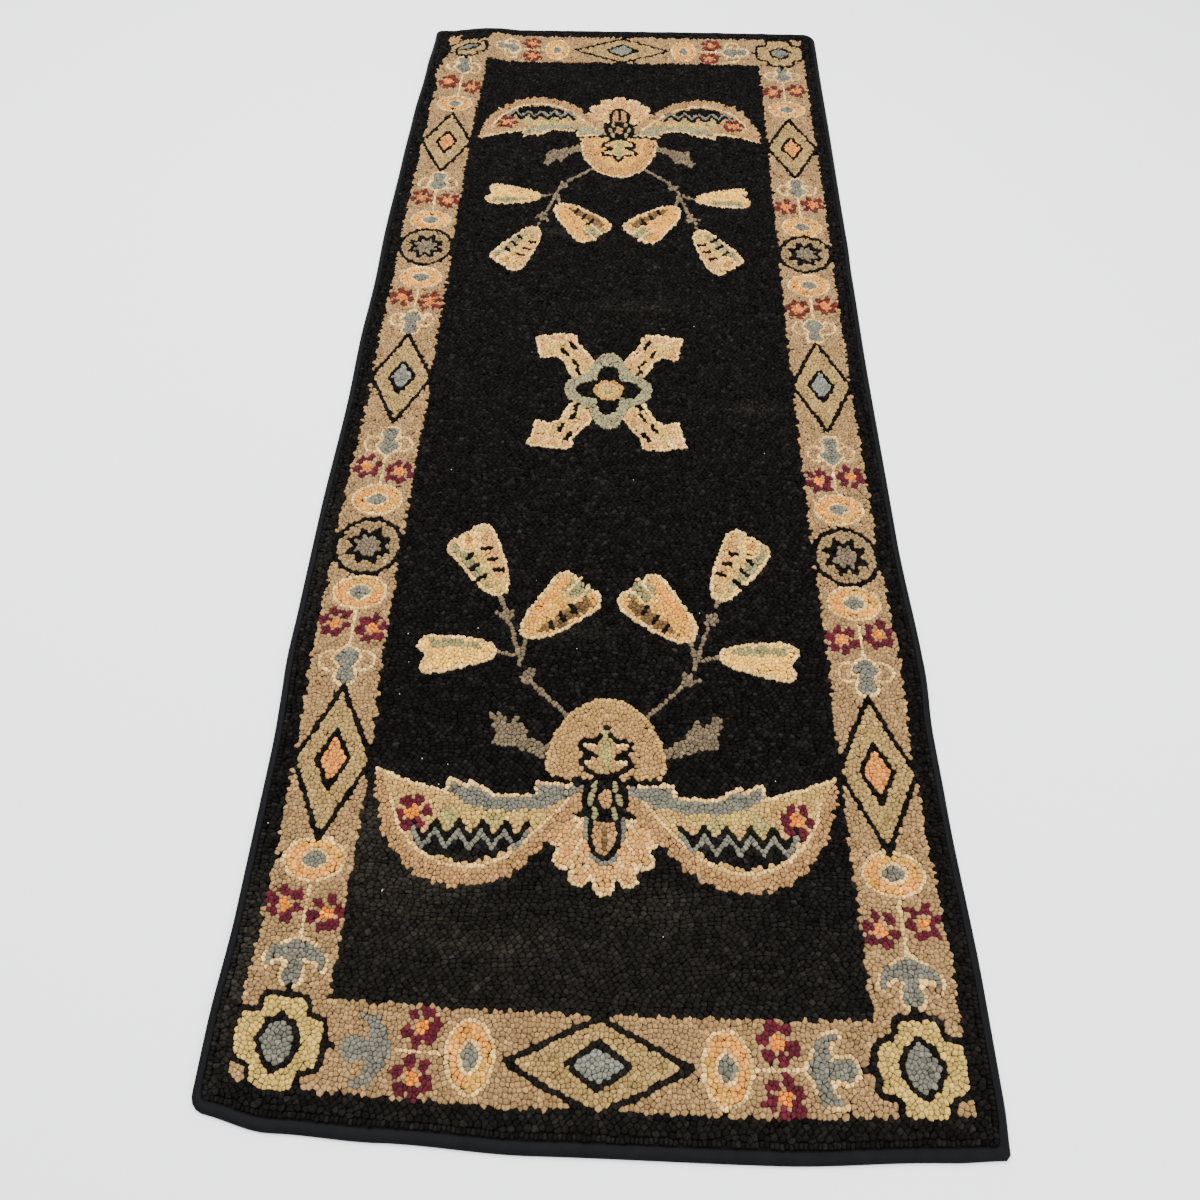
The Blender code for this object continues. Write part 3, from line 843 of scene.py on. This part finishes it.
def inside(points, outline):
    """Which points lie inside a closed outline."""
    outline = np.array(outline)
    near = np.all((points >= outline.min(axis=0)) & (points <= outline.max(axis=0)), axis=1)
    u, v = points[near].T
    crossed = np.zeros(len(u), bool)
    for (ua, va), (ub, vb) in zip(outline, np.roll(outline, -1, axis=0)):
        if va != vb:
            crossed ^= ((v < va) != (v < vb)) & (u < (ub - ua) * (v - va) / (vb - va) + ua)
    found = np.zeros(len(points), bool)
    found[near] = crossed
    return found


def hooked_along(shape):
    """Places of the loops hooked one after another along a shape's outline or line."""
    closed = shape.fill is not None
    path = np.array(shape.points + shape.points[:1] if closed else shape.points)
    steps = np.diff(path, axis=0)
    lengths = np.hypot(*steps.T)
    ends = np.concatenate([[0.0], np.cumsum(lengths)])
    count = max(1, round(ends[-1] / LINE_PITCH))
    if closed:
        at = (np.arange(count) + 0.5) * ends[-1] / count
    else:
        at = np.linspace(0.0, ends[-1], count + 1)
    span = np.clip(np.searchsorted(ends, at, side="right") - 1, 0, len(steps) - 1)
    share = (at - ends[span]) / np.maximum(lengths[span], 1e-9)
    return path[span] + steps[span] * share[:, None]


def near_pairs(points, reach):
    """Every two points that lie within reach of each other, as two lists of their numbers."""
    cell = np.floor(points / reach).astype(int)
    cell -= cell.min(axis=0)
    wide = cell[:, 1].max() + 3
    key = cell[:, 0] * wide + cell[:, 1]
    order = np.argsort(key, kind="stable")
    ordered = key[order]
    firsts, seconds = [], []
    for step in (0, 1, wide - 1, wide, wide + 1):
        start = np.searchsorted(ordered, key + step, side="left")
        stop = np.searchsorted(ordered, key + step, side="right")
        for nth in range((stop - start).max()):
            first = np.nonzero(start + nth < stop)[0]
            second = order[start[first] + nth]
            close = np.hypot(*(points[first] - points[second]).T) < reach
            if step == 0:
                close &= first < second
            firsts.append(first[close])
            seconds.append(second[close])
    return np.concatenate(firsts), np.concatenate(seconds)


first_row = round_the_rug(tape_cuts, TAPE_SHOWN + FIRST_ROW_IN, TAPE_SHOWN_NEAR_END + FIRST_ROW_IN)
field = patch(1000.0 * np.stack(first_row, axis=-1), "black", "black")
chart.insert(0, field)

# The rows on outlines and lines, later shapes first. What a later shape covers isn't hooked,
# and where two rows would crowd each other the later one wins.
drawn = [(number, shape) for number, shape in enumerate(chart) if shape.edge]
hooked = [hooked_along(shape) for number, shape in drawn]
line_places = np.concatenate(hooked)
line_layers = np.repeat([number for number, shape in drawn], [len(places) for places in hooked])
shown = np.ones(len(line_places), bool)
for number, shape in enumerate(chart):
    if shape.fill:
        below = np.nonzero(shown & (line_layers < number))[0]
        shown[below[inside(line_places[below], shape.points)]] = False
order = np.nonzero(shown)[0]
order = order[np.argsort(-line_layers[order], kind="stable")]
kept = np.ones(len(order), bool)
crowded = np.sort(near_pairs(line_places[order], LEAST_ON_LINES), axis=0)
for first, second in crowded[:, np.lexsort((crowded[1], crowded[0]))].T:
    if kept[first]:
        kept[second] = False
order = order[kept]
line_places = line_places[order] + rng.normal(0.0, LINE_WANDER, (len(order), 2))
line_wools = np.array([chart[number].edge for number in line_layers[order]])
line_sizes = np.where(line_wools == "black", BLACK_LINE_SIZE, LINE_SIZE)
line_sizes[line_wools == "cream"] = CREAM_LINE_SIZE


def wools_at(places):
    """The wool that fills each place: that of the last shape that holds it."""
    number_of = np.zeros(len(places), int)
    for number, shape in enumerate(chart):
        if shape.fill:
            number_of[inside(places, shape.points)] = number
    return np.array([chart[number].fill for number in number_of])


def rows_of_loops(pitch, row_step, wander):
    """Places for loops in rows across the rug, each a little out of line."""
    half_u, half_v = 500.0 * WIDTH, 500.0 * LENGTH
    rows = []
    for v in np.arange(-half_v, half_v, row_step):
        u = np.arange(-half_u + rng.uniform(0.0, pitch), half_u, pitch)
        wave = ROW_WAVE * np.sin(2 * pi * u / ROW_WAVE_LENGTH + ROW_WAVE_DRIFT * v)
        rows.append(np.stack([u, v + wave], axis=-1))
    places = np.concatenate(rows)
    places = places[inside(places, field.points)]
    return places + rng.normal(0.0, wander, places.shape)


# The rows that fill the field, then those that fill the band and the motifs. A loop that would
# crowd a line, or the field's last loops, is left out.
field_rows = rows_of_loops(FIELD_PITCH, FIELD_ROW_STEP, FIELD_WANDER)
field_rows = field_rows[wools_at(field_rows) == "black"]
motif_rows = rows_of_loops(MOTIF_PITCH, MOTIF_ROW_STEP, MOTIF_WANDER)
motif_rows = motif_rows[wools_at(motif_rows) != "black"]
line_count = len(line_places)
is_field = np.repeat([False, True, False], [line_count, len(field_rows), len(motif_rows)])
loop_places = np.concatenate([line_places, field_rows, motif_rows])
sizes = np.where(is_field, FIELD_SIZE, MOTIF_SIZE)
sizes[:line_count] = line_sizes
first, second = np.sort(near_pairs(loop_places, FIELD_SIZE), axis=0)
apart = np.hypot(*(loop_places[first] - loop_places[second]).T)
close = apart < TOO_CLOSE * 0.5 * (sizes[first] + sizes[second])
into_line = close & (first < line_count) & (second >= line_count)
into_field = close & (first >= line_count) & (is_field[first] != is_field[second])
stays = np.ones(len(loop_places), bool)
stays[second[into_line | into_field]] = False
loop_places, sizes, is_field = loop_places[stays], sizes[stays], is_field[stays]
spread = rng.normal(0.0, SIZE_SPREAD, len(sizes) - line_count)
sizes[line_count:] *= 1.0 + spread.clip(-MOST_SPREAD, MOST_SPREAD)

# The loops press each other apart. The rows on lines stay where they are.
wide_loop = np.array([1.0 / FIELD_STRETCH, FIELD_STRETCH])
for step in range(SETTLING_STEPS):
    first, second = near_pairs(loop_places, FARTHEST_TOUCH)
    squeeze = np.where((is_field[first] & is_field[second])[:, None], wide_loop, 1.0)
    apart = (loop_places[first] - loop_places[second]) * squeeze
    distance = np.maximum(np.hypot(*apart.T), LEAST_APART)
    overlap = np.maximum(0.5 * (sizes[first] + sizes[second]) - distance, 0.0)
    push = apart / distance[:, None] * (SETTLING_SHARE * overlap)[:, None] / squeeze
    moves = np.zeros_like(loop_places)
    np.add.at(moves, first, push)
    np.add.at(moves, second, -push)
    loop_places[line_count:] += moves[line_count:]
loop_wools = np.concatenate([line_wools, wools_at(loop_places[line_count:])])

# ---- The pile ----
# Each loop is a strip of wool cloth about 5 mm wide, pulled up through the hessian to about
# 7 mm and left uncut. One loop is modelled and copied to every place, where its sides take the
# shape that the loops beside it leave. Loops stand lower beside the tape.
SKIRT_SPREAD = 0.55
SKIRT_DEPTH = 0.0024
HEIGHT_SPREAD = 0.00045
TILT = 0.27
UNEVEN = 0.00018
OUT_OF_SHAPE = 0.04
GAP = 0.46
MOST_REACH = 4.2
REACH_BESIDE_TAPE = 2.8
LEAST_FACING = 0.2
WAYS = 24
MOST_LOOPS = 12000
# Distances in from the tape, and how high the pile's top is there.
PILE_EDGE = ((0.0009, 0.0060), (0.0038, 0.0079), (0.0085, 0.0086), (0.0190, 0.0088))


def taken_form(piece):
    """A small mesh's vertices and faces, to be copied to many places. The mesh itself goes."""
    form, faces = vertices_of(piece), np.array([face.vertices[:] for face in piece.data.polygons])
    bpy.data.objects.remove(piece, do_unlink=True)
    return form, faces


def joined_copies(name, copies, faces, material):
    """One smooth piece of the rug from many copies of a small form."""
    first = copies.shape[1] * np.arange(len(copies))
    all_faces = (first[:, None, None] + faces[None]).reshape(-1, 3)
    mesh = bpy.data.meshes.new(name)
    mesh.from_pydata(copies.reshape(-1, 3).tolist(), [], all_faces.tolist())
    mesh.shade_smooth()
    mesh.materials.append(material)
    piece = bpy.data.objects.new(name, mesh)
    bpy.context.collection.objects.link(piece)
    add_piece_to_rug(piece)
    return piece


bpy.ops.object.select_all(action="DESELECT")
bpy.ops.mesh.primitive_circle_add(vertices=6, radius=1.0, fill_type="NOTHING")
bpy.ops.object.mode_set(mode="EDIT")
bpy.ops.mesh.select_all(action="SELECT")
bpy.ops.mesh.extrude_region_move(TRANSFORM_OT_translate={"value": (0.0, 0.0, -1.0)})
bpy.ops.mesh.select_all(action="INVERT")
bpy.ops.mesh.edge_face_add()
bpy.ops.mesh.select_all(action="SELECT")
bpy.ops.mesh.quads_convert_to_tris()
bpy.ops.mesh.normals_make_consistent(inside=False)
bpy.ops.object.mode_set(mode="OBJECT")
loop_form, loop_faces = taken_form(bpy.context.object)

# A loop swells until it meets the loops beside it, so it reaches differently far in each
# direction. Below the top a loop spreads under its neighbours.
count = len(loop_places)
is_skirt = loop_form[:, 2] < 0.0
angles = 2 * pi * np.arange(WAYS) / WAYS
reach_of_way = np.full((WAYS, count), MOST_REACH)
reach_of_way[:, :line_count][:, line_layers[order] == 0] = REACH_BESIDE_TAPE
pairs = near_pairs(loop_places, 2.0 * MOST_REACH + 1.0)
for loop, other in (pairs, pairs[::-1]):
    apart = loop_places[other] - loop_places[loop]
    share = sizes[loop] / (sizes[loop] + sizes[other])
    meets = share * (apart ** 2).sum(axis=1)
    for number, angle in enumerate(angles):
        towards = apart[:, 0] * cos(angle) + apart[:, 1] * sin(angle)
        facing = towards > LEAST_FACING
        np.minimum.at(reach_of_way[number], loop[facing], meets[facing] / towards[facing])

# Its six sides turn so that it fills the space, and each corner slips into a gap.
side_step = WAYS // 6
filled = np.stack([reach_of_way[first_way::side_step].sum(axis=0) for first_way in range(side_step)])
form_angle = np.arctan2(loop_form[:, 1], loop_form[:, 0])
form_way = np.rint(form_angle / (2 * pi / WAYS)).astype(int)
form_way -= form_way[0]
nearest_way = (filled.argmax(axis=0)[:, None] + form_way) % WAYS
each = np.arange(count)[:, None]
slips = np.stack([reach_of_way[(nearest_way + slip) % WAYS, each] for slip in (-1, 0, 1)])
chosen_way = (nearest_way + slips.argmax(axis=0) - 1) % WAYS
reach = slips.max(axis=0) + np.where(is_skirt, SKIRT_SPREAD, -GAP)
reach *= 1.0 + rng.normal(0.0, OUT_OF_SHAPE, (count, 1))
way = np.stack([np.cos(angles[chosen_way]), np.sin(angles[chosen_way])], axis=-1)
loop_uv = 0.001 * (loop_places[:, None] + reach[..., None] * way)
place_u, place_v = 0.001 * loop_places.T
shown_width = np.where(place_v < 0.0, TAPE_SHOWN_NEAR_END, TAPE_SHOWN)
in_from_tape = np.minimum(WIDTH / 2 - np.abs(place_u) - TAPE_SHOWN,
                          LENGTH / 2 - np.abs(place_v) - shown_width)
top = np.interp(in_from_tape, *zip(*PILE_EDGE)) + rng.normal(0.0, HEIGHT_SPREAD, count)
tilt = rng.normal(0.0, TILT, (count, 1, 2))
height = top[:, None] + (0.001 * reach[..., None] * way * tilt).sum(axis=-1)
height += rng.normal(0.0, UNEVEN, height.shape) - np.where(is_skirt, SKIRT_DEPTH, 0.0)
loop_vertices = laid(loop_uv[..., 0], loop_uv[..., 1], height)

# The wools' dyes, red, green and blue from 0 to 255.
WOOLS = {
    "black": (11, 9, 8), "tan": (136, 106, 68), "tan_deep": (125, 101, 66), "straw": (142, 115, 69),
    "straw_yellow": (170, 141, 74), "cream": (206, 168, 103), "peach": (198, 132, 52),
    "peach_warm": (198, 131, 54), "peach_pale": (184, 122, 60), "orange": (200, 110, 27),
    "orange_pink": (188, 103, 42), "orange_pale": (188, 117, 53), "blue_grey": (98, 95, 82),
    "blue_grey_pale": (108, 107, 95), "sage": (122, 113, 75), "sage_grey": (126, 118, 86),
    "maroon": (73, 20, 30), "brick": (82, 30, 22), "taupe": (96, 82, 62), "taupe_grey": (100, 87, 68),
    "pink": (182, 131, 73), "pink_tan": (147, 109, 67), "tan_pink": (150, 114, 68),
    "tan_yellow": (163, 128, 73), "yellow_pale": (178, 143, 74), "yellow": (215, 164, 71),
    "yellow_deep": (190, 137, 58), "gold_pink": (162, 115, 57), "olive_pale": (141, 127, 74),
    "olive": (92, 69, 40),
}
SHADE_SPREAD = 0.17
BLACK_SPREAD = 0.48
# How much darker each loop's lower ring is painted: painted shade in the cracks between the loops.
SKIRT_PAINTED_SHADE = 0.15
MIXED_SHARE = 0.20
MIXED_AMOUNT = 0.7


def linear(colour):
    """Colour as a shader wants it."""
    share = np.asarray(colour) / 255.0
    return np.where(share <= 0.04045, share / 12.92, ((share + 0.055) / 1.055) ** 2.4)


wool_names = list(WOOLS)
wool_number = np.array([wool_names.index(name) for name in loop_wools])
loop_colours = linear(list(WOOLS.values()))[wool_number]
is_black = loop_wools == "black"
spread = np.where(is_black, BLACK_SPREAD, SHADE_SPREAD)[:, None]
loop_colours *= np.exp(rng.normal(0.0, 1.0, (count, 1)) * spread)
# The cream strip ran thin in places: some loops of it are mixed with tan.
is_mixed = (loop_wools == "cream") & (rng.random(count) < MIXED_SHARE)
tan_dye = linear(WOOLS["tan_yellow"])
loop_colours[is_mixed] += MIXED_AMOUNT * (tan_dye - loop_colours[is_mixed])
# The lower ring of every loop is painted dark, as painted shade in the cracks between loops.
painted_skirt_shades = np.where(is_skirt, SKIRT_PAINTED_SHADE, 1.0)

# The black has faded to a dusty olive in a few places, and the first and widest patch also paints in light,
# lifting the whole near end of the field as if it were lit more: the middle of each, half its size in
# millimetres, and how strong it is.
FADED_PATCHES_AND_PAINTED_LIGHT = (
    (-40, -800, 420, 150, 0.3), (-205, -705, 55, 34, 0.6), (-150, -690, 40, 22, 0.4),
    (-120, -760, 90, 16, 0.4), (-360, -800, 14, 90, 0.8), (-250, -640, 16, 50, 0.8),
    (60, -720, 60, 20, 0.4), (-60, -400, 60, 12, 0.5), (-362, -300, 10, 120, 0.4),
    (150, -640, 40, 14, 0.3), (-100, 330, 40, 10, 0.5), (30, 160, 70, 12, 0.3), (200, -40, 40, 16, 0.3),
)
DUSTY_OLIVE_AND_PAINTED_LIGHT = (0.0135, 0.0118, 0.0080)
FADING_SPREAD = (0.3, 1.4)
loop_u, loop_v = loop_places.T
# Only black loops take the olive: fading in the small patches, and painted light over the near end.
fading_and_painted_light = sum(amount * np.exp(-((loop_u - u) / half_wide) ** 2 - ((loop_v - v) / half_high) ** 2)
             for u, v, half_wide, half_high, amount in FADED_PATCHES_AND_PAINTED_LIGHT)
fading_and_painted_light *= is_black * rng.uniform(*FADING_SPREAD, count)
loop_colours += fading_and_painted_light[:, None] * np.array(DUSTY_OLIVE_AND_PAINTED_LIGHT)
dyes_with_painted_shade = loop_colours[:, None, :] * painted_skirt_shades[None, :, None]


def wool_material(name, sheen, gloss, fibre_stretch, darkest, lightest):
    """Wool cloth: its dye and painted shade from the mesh, small fibres in bump and in colour, the colour's
    light and dark streaks strong enough to paint in highlights and shade.
    """
    material = new_material(name, (0.1, 0.1, 0.1), 0.95, sheen, gloss)
    dye = add_node(material, "Attribute", attribute_name="wool")
    place = add_node(material, "TexCoord")
    stretched = add_node(material, "Mapping", [("Vector", place, "Object")],
                         Scale=fibre_stretch)
    fibres = add_node(material, "TexNoise", [("Vector", stretched, "Vector")],
                      Scale=900.0, Detail=4.0, Roughness=0.7, Distortion=0.6)
    shade = add_node(material, "MapRange", [("Value", fibres, "Fac")],
                     From_Min=0.3, From_Max=0.7, To_Min=darkest, To_Max=lightest)
    colour = add_node(material, "VectorMath", [(0, dye, "Color"), (1, shade, "Result")],
                      operation="MULTIPLY")
    finish_surface(material, (colour, "Vector"), (fibres, "Fac"), 0.7, 0.0008)
    return material


def add_pile(name, chosen, material):
    """Join the chosen loops into one piece, each with its dye and the painted shade on its lower ring."""
    piece = joined_copies(name, loop_vertices[chosen], loop_faces, material)
    dye = piece.data.attributes.new("wool", "FLOAT_COLOR", "POINT")
    rgba = np.ones((len(piece.data.vertices), 4))
    rgba[:, :3] = dyes_with_painted_shade[chosen].reshape(-1, 3)
    dye.data.foreach_set("color", rgba.ravel())
    return piece


# The light ends of these ranges paint highlights into the fibre streaks and the dark ends paint shade; on the
# black wool the streaks are stretched across the rug.
dyed_wool = wool_material("dyed_wool", 0.05, 0.10, (0.8, 1.1, 1.0), 0.46, 1.60)
black_wool = wool_material("black_wool", 0.0, 0.06, (0.42, 1.25, 1.0), 0.10, 2.10)
for name, chosen, material in (
    ("black_pile", is_black, black_wool),
    ("band_pile", loop_wools == "tan", dyed_wool),
    ("motif_pile", ~is_black & (loop_wools != "tan"), dyed_wool),
):
    parts = max(1, int(np.ceil(chosen.sum() / MOST_LOOPS)))
    borders = np.quantile(loop_places[chosen, 1], np.linspace(0.0, 1.0, parts + 1))
    part_of = np.clip(np.searchsorted(borders, loop_places[:, 1], side="right") - 1, 0, parts - 1)
    for part in range(parts):
        add_pile(f"{name}_{part + 1}", chosen & (part_of == part), material)

# A few bits of pale lint lie on the black wool: their places, lengths and turns.
LINT = (
    (-229, -708, 3.4, 70), (-143, -475, 1.8, 20), (-205, -564, 1.9, 110), (-240, -487, 1.3, 0),
    (-183, -593, 2.6, 10), (-175, -570, 1.2, 40), (-239, -409, 2.0, 85), (-233, -422, 2.2, 130),
    (-233, -447, 2.4, 0), (-36, -424, 1.4, 15), (-156, -399, 2.2, 5), (-90, -330, 1.4, 60),
    (112, -371, 1.6, 45), (63, -745, 1.4, 0), (190, -580, 1.6, 95), (212, -120, 1.3, 30),
    (-120, 60, 1.5, 0), (-215, -160, 1.7, 75), (120, 120, 1.3, 60), (30, -170, 1.2, 10),
    (-364, -640, 1.6, 90), (-80, 190, 1.4, 20), (175, 300, 1.3, 40), (-226, 105, 1.4, 80),
)
LINT_WIDTH = 0.00055
LINT_HEIGHT = 0.0004
bpy.ops.object.select_all(action="DESELECT")
bpy.ops.mesh.primitive_ico_sphere_add(subdivisions=1, radius=1.0)
bit_form, bit_faces = taken_form(bpy.context.object)
bits = []
for u, v, length, turn in LINT:
    along, across = bit_form[:, 0] * 0.0005 * length, bit_form[:, 1] * LINT_WIDTH
    turned = radians(turn)
    bits.append(laid(0.001 * u + along * cos(turned) - across * sin(turned),
                     0.001 * v + along * sin(turned) + across * cos(turned),
                     PILE_EDGE[-1][1] + bit_form[:, 2] * LINT_HEIGHT))
cotton = new_material("pale_lint", (0.55, 0.56, 0.56), 0.9, sheen=0.2)
cotton_place = add_node(cotton, "TexCoord")
cotton_fuzz = add_node(cotton, "TexNoise", [("Vector", cotton_place, "Object")], Scale=2500.0)
finish_surface(cotton, None, (cotton_fuzz, "Fac"), 0.6, 0.0004)
lint = joined_copies("lint", np.array(bits), bit_faces, cotton)

# ---- Floor, light and camera ----
# A plain pale floor, soft even light from above, and a camera held above the rug's near end.
bpy.ops.object.select_all(action="DESELECT")
bpy.ops.mesh.primitive_plane_add(size=14.0)
floor = bpy.context.object
floor.name = "floor"
floor.data.materials.append(new_material("pale_floor", (0.93, 0.93, 0.925), 0.9))


def soft_light(name, place, target, size, power):
    """A large square lamp that points at a target."""
    bpy.ops.object.light_add(type="AREA", location=place)
    lamp = bpy.context.object
    lamp.name = name
    lamp.data.shape = "SQUARE"
    lamp.data.size = size
    lamp.data.energy = power
    lamp.rotation_euler = (Vector(target) - Vector(place)).to_track_quat("-Z", "Y").to_euler()


soft_light("overhead_light", (-0.5, 0.5, 2.6), (0.0, 0.0, 0.0), 2.4, 176.0)
soft_light("side_light", (2.4, -1.4, 1.9), (0.0, 0.0, 0.0), 1.6, 72.0)
studio = bpy.data.worlds.new("studio")
studio.use_nodes = True
studio.node_tree.nodes["Background"].inputs["Color"].default_value = (0.95, 0.97, 1.0, 1.0)
studio.node_tree.nodes["Background"].inputs["Strength"].default_value = 1.2
bpy.context.scene.world = studio

CAMERA_PLACE = (-0.00284, -0.88510, 0.93846)
CAMERA_YAW = 0.01365
CAMERA_DOWN = 1.05317
CAMERA_ROLL = 0.01170
bpy.ops.object.camera_add(location=CAMERA_PLACE)
camera = bpy.context.object
camera.data.sensor_width = 36.0
camera.data.lens = 26.1
camera.data.clip_start = 0.01
aim = Matrix.Rotation(CAMERA_YAW, 4, "Z") @ Matrix.Rotation(pi / 2 - CAMERA_DOWN, 4, "X")
camera.matrix_world = Matrix.Translation(CAMERA_PLACE) @ aim @ Matrix.Rotation(CAMERA_ROLL, 4, "Z")
bpy.context.scene.camera = camera
